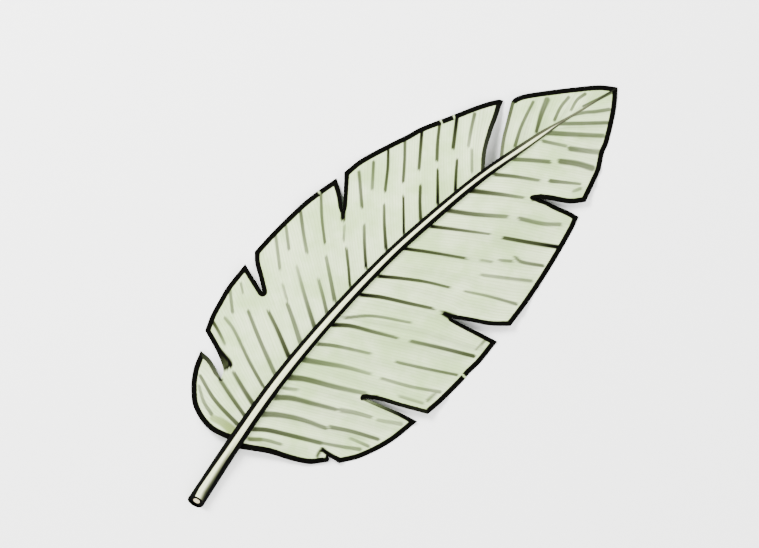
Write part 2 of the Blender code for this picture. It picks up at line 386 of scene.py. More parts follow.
# %% The strips: their margin, and where their veins start and end
LEFT_STRIPS = [
    {"below": LEFT_START, "above": LEFT_TEAR_1, "line": (8.8, 8.8, 1, 1),
     "veins": [101, 128, 143],
     "ends": [0, 0.79, 1],
     "margin": [(-31, 99, 13), (-42, 94, 12), (-59, 88.5, 10), (-75, 87.5, 6), (-92, 90, 2),
                (-110, 97, -3), (-126, 110, -5), (-138, 123, -4), (-149, 139.5, -1)]},
    {"below": LEFT_TEAR_1, "above": LEFT_TEAR_2,
     "veins": [143, 165, 196, 220, 254],
     "ends": [0, 0.2, 0.54, 0.86, 1],
     "margin": [(-186.5, 211, -5), (-194, 235, -4), (-201, 262, 3)]},
    {"below": LEFT_TEAR_2, "above": LEFT_TEAR_3,
     "veins": [254, 281, 313, 345, 366, 397],
     "ends": [0, 0.25, 0.4, 0.58, 0.81, 1],
     "margin": [(-211.5, 362, -5), (-212, 392, 1), (-211, 436, 9), (-207, 468.5, 5)]},
    {"below": LEFT_TEAR_3, "above": OPEN_TEAR_LOWER,
     "veins": [397, 433, 475, 509, 544, 579, 614, 646, 667],
     "ends": [0, 0.12, 0.29, 0.4, 0.51, 0.61, 0.72, 0.83, 1],
     "margin": [(-197, 543, 4), (-182.5, 594, -5), (-173.5, 621, -6), (-167.5, 643, -5),
                (-146, 692.5, 4), (-129, 731.8, 7), (-114.2, 758.4, 3)]},
    {"below": OPEN_TEAR_UPPER, "above": APEX,
     "veins": [694, 726, 763, 793, 828, 902],
     "ends": [0, 0.24, 0.37, 0.63, 0.76, 1],
     "margin": [(-98, 779, 8), (-91, 794, 4), (-68.5, 825.5, -2), (-45, 856, -3), (-20, 886, 0.6)]},
]
RIGHT_STRIPS = [
    {"below": RIGHT_START, "above": RIGHT_TEAR_4, "line": (9.4, 8.4, 1, 1),
     "veins": [99, 122],
     "ends": [0, 1],
     "margin": [(-10, 101, 14), (2.5, 109.5, 13), (28.5, 128, 11), (57, 143, 7), (82.5, 160.5, 3)]},
    {"below": RIGHT_TEAR_4, "above": RIGHT_TEAR_3,
     "veins": [122, 138, 165, 195, 230],
     "ends": [0, 0.33, 0.59, 0.83, 1],
     "margin": [(130.5, 223, -4), (146, 272, -5)]},
    {"below": RIGHT_TEAR_3, "above": RIGHT_TEAR_2,
     "veins": [230, 264, 297, 333, 355, 397],
     "ends": [0, 0.23, 0.49, 0.77, 0.89, 1],
     "margin": [(156.5, 367, 5), (156.5, 414, -5), (155, 432, -5), (155, 457, -5)]},
    {"below": RIGHT_TEAR_2, "above": RIGHT_TEAR_1,
     "veins": [397, 434, 465, 496, 548, 585, 627],
     "ends": [0, 0.17, 0.38, 0.56, 0.73, 0.92, 1],
     "margin": [(139.5, 578, 3), (126.5, 637, -5), (109, 700, -3)]},
    {"below": RIGHT_TEAR_1, "above": APEX,
     "veins": [627, 674, 715, 763, 778, 792, 839, 902],
     "ends": [0, 0.16, 0.3, 0.43, 0.57, 0.72, 0.83, 1],
     "margin": [(80, 777.5, 3.5), (73.5, 794, 1), (67.5, 803.5, -1), (58.5, 817, -2),
                (52, 832.5, -4), (28.5, 870, -2), (14.5, 888, 0.6)]},
]
print("strips:", len(LEFT_STRIPS), "left,", len(RIGHT_STRIPS), "right")

# %% [markdown]
# ## The bold veins
#
# Most of a banana leaf's veins are fine and even. Here and there one stands out
# as a dark raised line that fades along its way. Each entry below is one such
# stretch: its width in mm at both ends, its darkness at both ends from 0 to 1,
# and the points of the picture that it runs through. The short ones at the tips
# of the tears are dried tissue there. The three at the rolled edge of the second
# left strip's tear are no veins but painted shade on that roll.

# %% Bold veins of the left half
LEFT_VEINS = [
    # the lobe at the base
    (6.2, 5.8, 0.55, 0.75, (220.2, 379.6), (231.7, 396.9), (245.5, 416.4)),
    (5, 6.5, 0.52, 0.74, (200.2, 375.8), (215, 400), (237.3, 423.7)),
    (4.5, 6, 0.3, 0.45, (199, 386), (203.8, 401.7), (211.4, 413.7)),
    # second strip; the next three stretches are painted shade on the rolled edge of its tear
    (6, 7.5, 1, 1, (212.5, 339.5), (217.5, 347), (224.5, 355.5), (229.3, 361), (230.6, 365.5)),
    (10.5, 12, 0.98, 0.9, (218.6, 353), (222.6, 360), (226.4, 364.8)),
    (5.2, 4.8, 1, 0.95, (231, 366), (224.8, 369.2)),
    (5.5, 4.6, 0.9, 0.3, (213, 322), (219, 332), (225, 344)),
    (5.8, 7.2, 0.55, 0.76, (234.2, 372.8), (243.6, 388.7), (253, 403.4)),
    (5.2, 5.2, 0.32, 0.68, (225, 318), (233.4, 328.8), (250.3, 362.8), (263.5, 386.3)),
    (5.3, 6.6, 0.5, 0.54, (248.4, 311.2), (258.3, 335.9), (274.6, 372.7)),
    (5.3, 7, 0.58, 0.95, (268.7, 311.6), (278, 330.5), (289.3, 357.3)),
    (5, 5, 0.4, 0.45, (230, 290), (232.6, 312)),
    (3.8, 3.8, 0.32, 0.28, (241, 283), (243, 293)),
    # third strip
    (4.2, 4.4, 0.24, 0.3, (283, 285), (287, 299)),
    (5.6, 7.5, 0.5, 0.5, (287.6, 304.1), (293.8, 321.1), (300.4, 341.9)),
    (5, 6.8, 0.2, 0.75, (297, 267), (306, 299), (315, 328)),
    (5, 4.8, 0.4, 0.38, (275.7, 236), (278, 253), (280, 269)),
    (4.4, 5, 0.4, 0.43, (286, 226), (289, 249)),
    (5, 5.6, 0.34, 0.66, (318.7, 279.8), (323.3, 296.9), (327, 313)),
    (5.3, 5.5, 0.62, 0.38, (300.7, 212), (303.4, 232), (307, 252)),
    (5, 6.4, 0.38, 0.62, (326.3, 257), (330.7, 279), (334.8, 300.3)),
    (4.6, 4.6, 0.55, 0.58, (321, 194), (322, 218), (325, 243)),
    (4.5, 4.2, 0.6, 0.95, (346.5, 249), (348.6, 268), (350, 286)),
    (4, 4, 0.2, 0.35, (344.5, 225), (343.7, 240)),
    (7.6, 7.4, 1, 1, (343.3, 207), (343, 219)),
    # fourth strip
    (4.8, 4.8, 0.42, 1, (364.2, 225), (364.6, 246), (366.1, 268)),
    (5.2, 5, 0.54, 0.6, (359, 172), (362, 207)),
    (4.8, 5.2, 0.6, 0.38, (373.6, 162), (372.2, 189)),
    (4, 5.6, 0.55, 0.95, (384.1, 205), (384.5, 227), (386, 249.1)),
    (4.4, 4.6, 0.95, 0.68, (388.3, 150), (387.7, 168), (385.1, 191)),
    (3.8, 4, 0.85, 1, (403.3, 197), (403.7, 234)),
    (4.6, 4.6, 0.68, 0.7, (405, 140), (404.5, 160), (403.1, 182)),
    (4.6, 5.3, 0.77, 0.92, (420.3, 186), (419.8, 203), (420.5, 220)),
    (5, 4.9, 1, 0.68, (421.9, 131.1), (418.9, 169.1)),
    (3.8, 5.2, 0.86, 1, (437.5, 170), (437.5, 204)),
    (4.6, 5.2, 0.84, 0.72, (439.8, 123), (437.7, 141.5), (436.8, 160)),
    (4.2, 5, 0.76, 1, (456.9, 160), (455.7, 176), (455.1, 191)),
    (5.6, 5.6, 1, 0.86, (457, 117), (453, 148)),
    (5.2, 4.8, 0.62, 0.3, (474.5, 114), (471, 130), (468.2, 146)),
    (4.2, 4.2, 0.3, 0.35, (471.6, 150), (471.6, 172)),
    # the strip at the apex
    (4.4, 5.2, 0.48, 0.62, (533, 102), (521.6, 125.3), (514.6, 146.3)),
    (9, 4.8, 0.48, 0.74, (547, 100), (541.1, 114.4), (536, 132)),
    (4.9, 4.7, 0.46, 0.56, (568.5, 97.4), (560.5, 107.4), (554.3, 120.2)),
    (5, 4.2, 0.52, 0.4, (585, 94), (577, 100), (571, 110)),
    (3.6, 4, 0.5, 0.7, (583, 106.2), (598, 98.8), (613, 91)),
]
print("bold stretches on the left:", len(LEFT_VEINS))

# %% Bold veins of the right half
RIGHT_VEINS = [
    # the base, and the curl beside its tear
    (5.8, 5, 0.45, 0.37, (249.9, 439), (264, 439.5), (281, 444)),
    (7, 6.5, 1, 1, (339.4, 460.4), (331.6, 455.7), (325.9, 452.1), (322.3, 449)),
    (6, 5, 1, 0.6, (322.5, 449.8), (320, 451.3), (318.4, 453.6), (317.4, 456)),
    (7, 7, 1, 1, (320.9, 461), (326.6, 458.9), (328.6, 456.4)),
    # second strip
    (7, 6.6, 0.8, 0.54, (253, 429), (267, 429.7), (290, 435), (321, 443)),
    (4.6, 6.2, 0.36, 0.42, (323, 443), (342, 446.7), (360, 449.4)),
    (9, 6.2, 0.62, 0.46, (262, 414), (277, 414.4), (300, 418.8), (326, 428)),
    (6.5, 5.6, 0.5, 0.6, (331, 427), (352, 431.3), (378.2, 439.3)),
    (9, 5.8, 0.68, 0.5, (274.9, 397.2), (290, 397.6), (312, 403), (336, 409.1)),
    (7.4, 5.8, 0.38, 0.35, (341, 410), (355, 412.6), (371, 417)),
    (5.4, 6.6, 0.24, 0.28, (378, 420), (401, 424)),
    (9.2, 6.4, 0.72, 0.38, (288, 377), (305, 378.8), (335.1, 386.5), (366, 393.5)),
    (5.4, 5.2, 0.42, 0.26, (284, 388), (297, 389.3)),
    (4.8, 5.2, 0.2, 0.42, (350.3, 438.3), (368.3, 446.3)),
    (6, 8, 1, 1, (364.6, 398), (370, 397.1), (377, 397.6)),
    # third strip
    (9, 5, 0.64, 0.28, (301, 359), (319.9, 362.3), (345, 366.8), (371, 374)),
    (4.8, 5.2, 0.36, 0.38, (381, 378), (410, 386.3), (440, 392)),
    (4.8, 5, 0.24, 0.25, (399.6, 396.2), (422.6, 403.2)),
    (4.8, 4.8, 0.38, 0.35, (427.6, 400.7), (437.3, 391.5)),
    (6, 4.6, 0.66, 0.34, (316.9, 343.7), (335.9, 345.7), (370.9, 353.5)),
    (4.8, 4.6, 0.44, 0.58, (397, 362), (426, 368.6), (457, 375)),
    (7, 5, 1, 0.46, (330.9, 324.7), (350, 325.6), (372.2, 331.3), (396.2, 337.5)),
    (5.8, 6, 0.48, 0.8, (411, 341), (440, 347.6), (473.8, 356.2)),
    (5.2, 4.2, 0.52, 0.36, (344, 317.7), (372, 315.8), (410, 322.4)),
    (4, 4, 0.4, 0.32, (486.2, 339.2), (476.2, 349.2)),
    (6.4, 4.8, 1, 0.68, (358.9, 294.5), (381, 297), (407, 302.8), (432.9, 308.5)),
    (7.6, 11.4, 1, 1, (442.8, 312.8), (449, 315.6), (453.2, 317.7)),
    # fourth strip
    (5.8, 4.2, 1, 0.6, (377, 276), (400.1, 278.2), (425.1, 281.7), (450.1, 287.6)),
    (3.6, 5.2, 0.36, 0.52, (464, 291), (490, 296.6), (516, 304)),
    (4.8, 5.5, 0.34, 0.38, (482, 275), (503, 277.6), (531, 281)),
    (5.6, 4.4, 1, 0.62, (401.8, 248.3), (430, 252.3), (465.9, 258.4)),
    (4.3, 4.5, 0.24, 0.28, (480, 260), (492, 262)),
    (4.9, 5, 0.34, 0.38, (500, 260.3), (512, 261.3)),
    (5.6, 5.2, 0.48, 0.6, (515.6, 257.6), (520.8, 261.7), (542.9, 265.8)),
    (5.8, 3.8, 1, 0.42, (429, 226.3), (455, 229.5), (490, 234.2)),
    (5.6, 6.4, 0.75, 1, (503, 237.7), (530, 242.5), (558, 247)),
    (7.2, 6, 0.86, 0.38, (445.8, 210.4), (474.9, 214.5), (507, 216.7)),
    (6.6, 6, 0.46, 0.38, (520, 218.7), (542, 223.6), (560, 224.4)),
    (8, 4.4, 1, 0.4, (466.1, 190.5), (495.1, 193.8), (523, 197.7)),
    (9, 9.4, 1, 1, (535, 198), (542, 199.6)),
    (5, 5, 1, 1, (533.3, 196.4), (533, 200)),
    # the strip at the apex
    (6, 4.6, 0.78, 0.4, (494, 174.6), (515, 176.7), (539, 180.5)),
    (6.2, 4, 0.6, 0.42, (550, 181), (580, 184)),
    (4.8, 5.4, 0.24, 0.32, (573.1, 191.3), (580.2, 188.6)),
    (6.2, 6.2, 0.6, 0.52, (513, 159.6), (530, 160.3), (549, 162)),
    (8.4, 9.4, 0.6, 0.52, (560.1, 161.4), (576.3, 163.6), (592, 168)),
    (5.6, 5.2, 0.54, 0.32, (543, 141.3), (566, 146.2)),
    (7.6, 8, 0.54, 0.36, (570, 148.7), (584, 150.6), (600, 152.2)),
    (7.6, 6.4, 0.58, 0.46, (547, 133), (574, 134.5), (603, 135.7)),
    (5.8, 5.6, 0.56, 0.52, (553, 124.1), (582, 123.4), (608, 122.7)),
    (4.2, 5.6, 0.5, 0.46, (556, 120.4), (570, 116), (584, 112.5), (595, 111.6), (609, 109.4)),
    (3.6, 4, 0.5, 0.7, (583, 106.8), (598, 99.6), (613, 91.8)),
]
print("bold stretches on the right:", len(RIGHT_VEINS))

# %% Patches of painted shade, rolled places of the torn edges, and nicks in the dried margin
SHADE_PATCHES = [
    (10, 16, 0.75, 0.95, (213, 418), (222, 422), (231, 429)),
    (8, 8, 0.7, 0.6, (249, 438.5), (260, 439.5)),
    (7, 7, 0.3, 0.3, (580, 137), (600, 137)),
]
# width and height in mm, each at both ends, and the points
ROLLS = [
    (8, 13, 0.6, 2, (216, 349), (222.5, 357.5), (226.5, 363)),
    (13, 14, 3.6, 4.2, (320.5, 454.5), (324.5, 456.5)),
]
NICKS = [(319, 192), (440.5, 120), (454, 116.5), (465, 377)]
print("patches:", len(SHADE_PATCHES), "rolls:", len(ROLLS), "nicks:", len(NICKS))

# %% [markdown]
# ## Finding what is near a place on the blade
#
# A drawn stretch is cut into many points, each with its width and its strength.
# A search tree over them, seen from above, tells quickly which ones are near a
# vertex. This is simpler than cutting each vein into the mesh, and lets the
# veins cross the grid freely.

# %% Search trees
SAMPLE_STEP = 0.5 * MM
# share of the widest sample's width, past which its edge has faded
SEARCH_REACH = 0.75


def plant(samples):
    """Search tree over (point, width, strength), its samples, and how far they reach."""
    tree = kdtree.KDTree(len(samples))
    for index, (point, _, _) in enumerate(samples):
        tree.insert((point.x, point.y, 0), index)
    tree.balance()
    return tree, samples, SEARCH_REACH * max(wide for _, wide, _ in samples) * MM


def cut_up(points):
    """Points at even steps along a curve, and the share of its length at each."""
    shares = even_shares(max(1, math.ceil(path_length(points) / SAMPLE_STEP)))
    return zip(shares, along_curve(points, shares))


def stretch_tree(stretches):
    """Search tree over points along some stretches of the picture."""
    samples = []
    for wide0, wide1, strength0, strength1, *points in stretches:
        for share, point in cut_up([on_leaf(*point) for point in points]):
            strength = between(strength0, strength1, share)
            samples.append((point, between(wide0, wide1, share), strength))
    return plant(samples)


def strongest(planted, point, profile):
    """Greatest strength at a point, by a profile over half the width of each sample."""
    tree, samples, reach = planted
    best = 0.0
    for _, index, distance in tree.find_range((point.x, point.y, 0), reach):
        _, wide, strength = samples[index]
        best = max(best, strength * profile(2 * distance / (wide * MM)))
    return best


left_tree, right_tree, shade_patch_tree, roll_tree = (
    stretch_tree(table) for table in (LEFT_VEINS, RIGHT_VEINS, SHADE_PATCHES, ROLLS))
print("samples along the bold veins:", len(left_tree[1]) + len(right_tree[1]))

# %% [markdown]
# ## One strip of blade
#
# A strip is a patch between the midrib, the margin and its two edges. Along a
# vein it starts level and falls ever more steeply, as a blade does that hangs
# from its midrib. A grid from bmesh.ops.create_grid has its vertices moved to
# that patch. Its columns run along the veins and lie close together, because
# all the fine detail runs that way, and its rows crowd towards the margin.

# %% The patch of a strip
BLADE_ROOT = 0.34  # share of the midrib's width, from its middle
ROOT_DROP = 0.5 * MM
ARCH_POWER = 1.7
ROWS = 52
ROW_CROWDING = 1.5
ROW_SHARES = [1 - (1 - row / ROWS) ** ROW_CROWDING for row in range(ROWS + 1)]


def root_point(station, side):
    """Where the blade starts inside the midrib, at a station."""
    middle, sideways, width = rib_frame(station)
    return middle + sideways * side * BLADE_ROOT * width - Vector((0, 0, ROOT_DROP))


def edge_points(tear, name, side):
    """A strip's edge, row by row: along the tear's vein to its tip, and on to the margin."""
    root = root_point(tear["root"], side)
    if name not in tear:
        return [root] * (ROWS + 1), None
    vein = [root] + [Vector(p) * MM for p in tear["vein"]]
    free = [vein[-1]] + [Vector(p) * MM for p in tear[name]]
    if len(vein) == 1:
        return along_curve(free, ROW_SHARES), free
    whole = (Vector(tear["upper"][-1]) * MM - root).length
    reach = (vein[-1] - root).length / whole
    tip = min(range(ROWS + 1), key=lambda row: abs(ROW_SHARES[row] - reach))
    inner = [share / ROW_SHARES[tip] for share in ROW_SHARES[:tip + 1]]
    outer = [(share - ROW_SHARES[tip]) / (1 - ROW_SHARES[tip]) for share in ROW_SHARES[tip + 1:]]
    return along_curve(vein, inner) + along_curve(free, outer), free


def arched(root, end, share):
    """Point at a share of a vein: straight from above, and falling ever more steeply."""
    point = root.lerp(end, share)
    point.z = end.z + (root.z - end.z) * (1 - share ** ARCH_POWER)
    return point


# %% The dried line along an edge
TAPER = 24 * MM
DENSITY = 3.3


def cover(strength):
    """How much of the green a dark place hides: each further bit of it hides less."""
    return (1 - math.exp(-DENSITY * strength)) / (1 - math.exp(-DENSITY))


def line_samples(points, line, at_tip=1):
    """Points along an edge of the blade, with its dried line's width and darkness."""
    run = path_length(points)
    samples = []
    for share, point in cut_up(points):
        wide = between(line[0], line[1], share) * min(1, at_tip + share * run / TAPER)
        dark = min(1, max(0, between(line[2], line[3], share)))
        samples.append((point, wide, cover(dark)))
    return samples


print("a darkness of 0.5 hides:", round(cover(0.5), 2))

# %% Relief of a strip: pleats, fine ribs, waves
PLEAT_HEIGHT = 3.2 * MM
PLEAT_RISE = 0.3
PLEAT_FADE = 0.4
FULL_PLEAT_LENGTH = 60 * MM
FINE_SPACING = 5.0 * MM
FINE_HEIGHT = 0.18 * MM
WAVE_HEIGHT = 1.2 * MM
RUFFLE_HEIGHT = 1.3 * MM
# size across the veins, size along them, and the level at which the noise is read
WAVE, RUFFLE = (34 * MM, 70 * MM, 0.5), (11 * MM, 40 * MM, 7.5)
RUFFLE_RISE = 4
SETTLE = 0.8 * MM


def uneven(across, along, pattern):
    """Smooth height from -1 to 1, from a noise that a pattern stretches."""
    return noise.noise(Vector((across / pattern[0], along / pattern[1], pattern[2])))


def relief(place, share, across, along, length):
    """Height above the patch, at a place counted in veins and a share of the way out."""
    fade = min(1, length / FULL_PLEAT_LENGTH)
    rise = math.sin(math.pi / 2 * min(1, share / PLEAT_RISE))
    pleat = PLEAT_HEIGHT / 2 * math.cos(2 * math.pi * place) * rise * (1 - PLEAT_FADE * share)
    fine = FINE_HEIGHT / 2 * math.cos(2 * math.pi * across / FINE_SPACING) * rise
    wave = WAVE_HEIGHT * uneven(across, along, WAVE) * rise
    ruffle = RUFFLE_HEIGHT * uneven(across, along, RUFFLE) * share ** RUFFLE_RISE
    return pleat * fade + fine + (wave + ruffle) * fade


def settled(height):
    """Height of a blade that comes down on the floor: never below it, and meeting it softly."""
    return (height + math.sqrt(height * height + SETTLE * SETTLE)) / 2


# %% A grid on each strip
LAYERS = ("across", "along", "edge", "edge_line", "edge_dark", "ink", "patch")
COLUMN_WIDTH = 1.25 * MM


def column_places(veins, ends, margin_length):
    """Places of a strip's columns, counted in veins, none too far apart at either end."""
    places = [0.0]
    for k in range(len(veins) - 1):
        run = max((veins[k + 1] - veins[k]) * MM, (ends[k + 1] - ends[k]) * margin_length)
        steps = math.ceil(run / COLUMN_WIDTH)
        places += [k + step / steps for step in range(1, steps + 1)]
    return places


def add_strip(mesh, strip, side, start, edges):
    """Add a strip, and its free edges to a list. Gives how far across the leaf it ends."""
    across_layer, along_layer = (mesh.verts.layers.float[name] for name in ("across", "along"))
    veins, ends = strip["veins"], strip["ends"]
    low, low_free = edge_points(strip["below"], "upper", side)
    high, high_free = edge_points(strip["above"], "lower", side)
    margin = [low[-1]] + [Vector(p) * MM for p in strip["margin"]] + [high[-1]]
    edges += line_samples(margin, strip.get("line", LINE))
    for free, tear, line in ((low_free, strip["below"], "upper_line"),
                             (high_free, strip["above"], "lower_line")):
        if free:
            edges += line_samples(free, tear.get(line, LINE), tear.get("at_tip", AT_TIP))

    places = column_places(veins, ends, path_length(margin))
    roots = [root_point(value_at(veins, place), side) for place in places]
    tips = along_curve(margin, [value_at(ends, place) for place in places])
    across = [start]
    for k in range(len(places) - 1):
        apart = (roots[k + 1] - roots[k]).length + (tips[k + 1] - tips[k]).length
        across.append(across[-1] + apart / 2)
    low_shift, high_shift = ([point - arched(edge[0], edge[-1], share)
                              for point, share in zip(edge, ROW_SHARES)] for edge in (low, high))

    columns = len(places) - 1
    grid = bmesh.ops.create_grid(mesh, x_segments=columns, y_segments=ROWS, size=0.5)
    for vertex in grid["verts"]:
        column = round((vertex.co.x + 0.5) * columns)
        row = round((vertex.co.y + 0.5) * ROWS)
        share = ROW_SHARES[row]
        u = places[column] / (len(veins) - 1)
        point = arched(roots[column], tips[column], share)
        point += low_shift[row] * (1 - u) ** 2 + high_shift[row] * u ** 2
        # measured from the root, so that two strips agree along the vein that they share
        along = (point - roots[column]).length
        length = (tips[column] - roots[column]).length
        point.z += relief(places[column], share, across[column], along, length)
        vertex.co = point
        vertex[across_layer] = across[column] / MM
        vertex[along_layer] = along / MM
    return across[-1]


# %% [markdown]
# ## The two blades
#
# All strips of one side share the vein between them up to the tear's tip, so
# their doubles are merged there and the blade is one sheet. Each vertex then
# looks up how far it is from the nearest free edge and from the bold veins, and
# keeps both as attributes, which the materials read. Bold veins and rolled
# places are raised. A Solidify modifier gives the sheet its thickness
# downwards, and gives the other face the material of the leaf's upper side.

# %% Look-ups that raise and mark the veins
VEIN_HEIGHT = 0.6 * MM
BLADE_THICKNESS = 0.7 * MM
SOFT_EDGE = (0.65, 1.35)
NICK_REACH = 5 * MM
NICK_LENGTH = 1.0 * MM
NICK_COVER = 0.1


def soft_line(away):
    """Across a vein, where 1 is half its width: full in the middle, fading over its edge."""
    return 1 - smooth_step(*SOFT_EDGE, away)


def round_top(away):
    return math.sqrt(max(0.0, 1 - away * away))


def open_nicks(edges):
    """Break the dried line where the margin has a nick."""
    tree, samples, _ = edges
    for nick in NICKS:
        _, index, distance = tree.find(on_leaf(*nick))
        if distance < NICK_REACH:
            middle = samples[index][0]
            for _, near, _ in tree.find_range((middle.x, middle.y, 0), NICK_LENGTH):
                samples[near] = (*samples[near][:2], NICK_COVER)


def mark(mesh, edges, veins):
    """Write the look-up attributes of every vertex, raise its bold veins and settle it."""
    layer = {name: mesh.verts.layers.float[name] for name in LAYERS}
    for vertex in mesh.verts:
        _, index, distance = edges[0].find((vertex.co.x, vertex.co.y, 0))
        _, wide, dark = edges[1][index]
        vertex[layer["edge"]] = distance / MM
        vertex[layer["edge_line"]] = wide
        vertex[layer["edge_dark"]] = dark
        ink = cover(strongest(veins, vertex.co, soft_line))
        vertex[layer["ink"]] = ink
        # strength of the patches of painted shade
        vertex[layer["patch"]] = strongest(shade_patch_tree, vertex.co, soft_line)
        rolled = strongest(roll_tree, vertex.co, round_top) * MM
        vertex.co.z = settled(vertex.co.z + VEIN_HEIGHT * ink + rolled) + BLADE_THICKNESS


# %% Make both blades
SAME_PLACE = 0.01 * MM


def make_blade(name, strips, side, veins):
    """A blade's sheet, from its strips, with its thickness left to a modifier."""
    mesh = bmesh.new()
    for layer in LAYERS:
        mesh.verts.layers.float.new(layer)
    samples = []
    across = 0.0
    for strip in strips:
        across = add_strip(mesh, strip, side, across, samples)
    bmesh.ops.remove_doubles(mesh, verts=mesh.verts, dist=SAME_PLACE)
    edges = plant(samples)
    open_nicks(edges)
    mark(mesh, edges, veins)
    bmesh.ops.recalc_face_normals(mesh, faces=mesh.faces)
    bmesh.ops.reverse_faces(mesh, faces=[face for face in mesh.faces if face.normal.z < 0])
    bmesh.ops.translate(mesh, verts=mesh.verts, vec=-LEAF_MIDDLE)
    blade = make_object(name, mesh)
    blade.data.shade_smooth()
    thickness = blade.modifiers.new("thickness", "SOLIDIFY")
    thickness.thickness = BLADE_THICKNESS
    thickness.offset = -1
    thickness.material_offset = 1
    return blade


blade_left = make_blade("blade_left", LEFT_STRIPS, -1, left_tree)
blade_right = make_blade("blade_right", RIGHT_STRIPS, 1, right_tree)
for blade in (blade_left, blade_right):
    print(blade.name, "faces in the sheet:", len(blade.data.polygons))

# %% [markdown]
# ## Midrib and stalk
#
# The rod is one tube. Its section is an arch above its widest level, and below
# it two rims with the open channel of the leaf's upper side between them. The
# channel closes towards the cut, which is round. The first rings of the grid
# are the slanting cut through the stalk, from the middle outwards: its spongy
# pith has sunk a little, and its air channels are open pits. The rest of the
# rings follow the stations to the apex.

# %% Section of the rod, in shares of its width
ARCH_HEIGHT = 0.5
CHANNELLED = [(0.46, -0.12), (0.31, -0.22), (0.12, -0.25), (0, -0.15)]
ROUND = [(0.47, -0.16), (0.36, -0.32), (0.18, -0.4), (0, -0.43)]
HALF_AROUND = 48

turns = [math.pi * k / HALF_AROUND for k in range(HALF_AROUND + 1)]
arch = [Vector((0.5 * math.cos(turn), ARCH_HEIGHT * math.sin(turn), 0)) for turn in turns]


def section_over(lower):
    """Points round the rod's section, from the right half of its lower side."""
    under = [(-0.5, 0)] + [(-x, z) for x, z in lower] + lower[-2::-1] + [(0.5, 0)]
    points = [Vector((*point, 0)) for point in under]
    return arch + along_curve(points, even_shares(HALF_AROUND))[1:-1]


SECTION = section_over(CHANNELLED)
END_SECTION = section_over(ROUND)
AROUND = len(SECTION)
print("points round the section:", AROUND)

# %% Air channels in the cut, on a hexagonal pattern
CHANNEL_SPACING = 3.4
CHANNEL_RADIUS = 1.1
CHANNEL_FLOOR = 0.7  # share of the radius
CHANNEL_DEPTH = 2.2
PITH_EDGE, PITH_FADE = 6.6, 0.8


def channel_depth(x, y, inside):
    """Depth of the air channels at x, y in mm on the cut, which stop short of its edge."""
    row_height = CHANNEL_SPACING * math.sqrt(3) / 2
    depth = 0.0
    near_row = round(y / row_height)
    for row in (near_row - 1, near_row, near_row + 1):
        shift = CHANNEL_SPACING / 2 * (row % 2)
        centre_x = round((x - shift) / CHANNEL_SPACING) * CHANNEL_SPACING + shift
        away = math.hypot(x - centre_x, y - row * row_height)
        depth = max(depth, 1 - smooth_step(CHANNEL_FLOOR * CHANNEL_RADIUS, CHANNEL_RADIUS, away))
    return depth * smooth_step(PITH_EDGE, PITH_EDGE + PITH_FADE, inside)


# %% Dark lines along the rod's flanks, partly its own dark edge and partly painted shade in the crease where it meets the blade: width in mm and darkness at stations, and a painted shade on the stalk's right flank
LEFT_LINE = [(-5, 6.6), (30, 6.8), (90, 8), (180, 7.4), (300, 6.8), (430, 6.4), (640, 6),
             (740, 5.2), (902, 3.6)]
RIGHT_LINE = [(-5, 5.8), (30, 5.8), (70, 7.6), (130, 8), (240, 6.8), (430, 6.8), (570, 7.4),
              (640, 7), (700, 5.2), (750, 3.4), (902, 3.6)]
LINE_DARK = [(-5, 1), (690, 1), (750, 0.96), (790, 0.93), (820, 0.91), (845, 0.89), (870, 0.96),
             (902, 1)]
# painted shade on the stalk's right flank, away from the key lamp, fading out along the stalk
SHADE_START, SHADE_END = 70, 120
SHADE_LEFT, SHADE_WIDTH, SHADE_POWER = 0.5, 9.5, 4


def shade_at(beside, station):
    """Painted shade on the stalk's right flank, some mm to the right of its middle."""
    shaded = min(1, max(0, (beside + SHADE_LEFT) / SHADE_WIDTH))
    return (1 - (1 - shaded) ** SHADE_POWER) * (1 - smooth_step(SHADE_START, SHADE_END, station))


# %% Rings of the rod
CUT_LEAN = math.radians(34)
CUT_RUN = 20
CUT_MIDDLE = 0.12
CUT_RINGS, TUBE_RINGS = 30, 360
CHANNEL_START, CHANNEL_FULL = 0, 40
CUT_RADIUS = 0.42  # mean radius of the cut, and the way round it, in shares of its width
WAY_AROUND = 2.6
PITH_SINK, PITH_SINK_RUN = 0.7, 3
RIPPLE_HEIGHT = 0.25 * MM
RIPPLE = (1 / 3, 40, 2.5)
FULL_RIPPLE_WIDTH = 12
ABOVE_FLOOR = 0.1 * MM
UNDER_LEVEL = -0.1
RIB_LAYERS = ("station", "around", "flank", "flank_line", "line_dark", "under", "cut_edge",
              "channel", "shade")


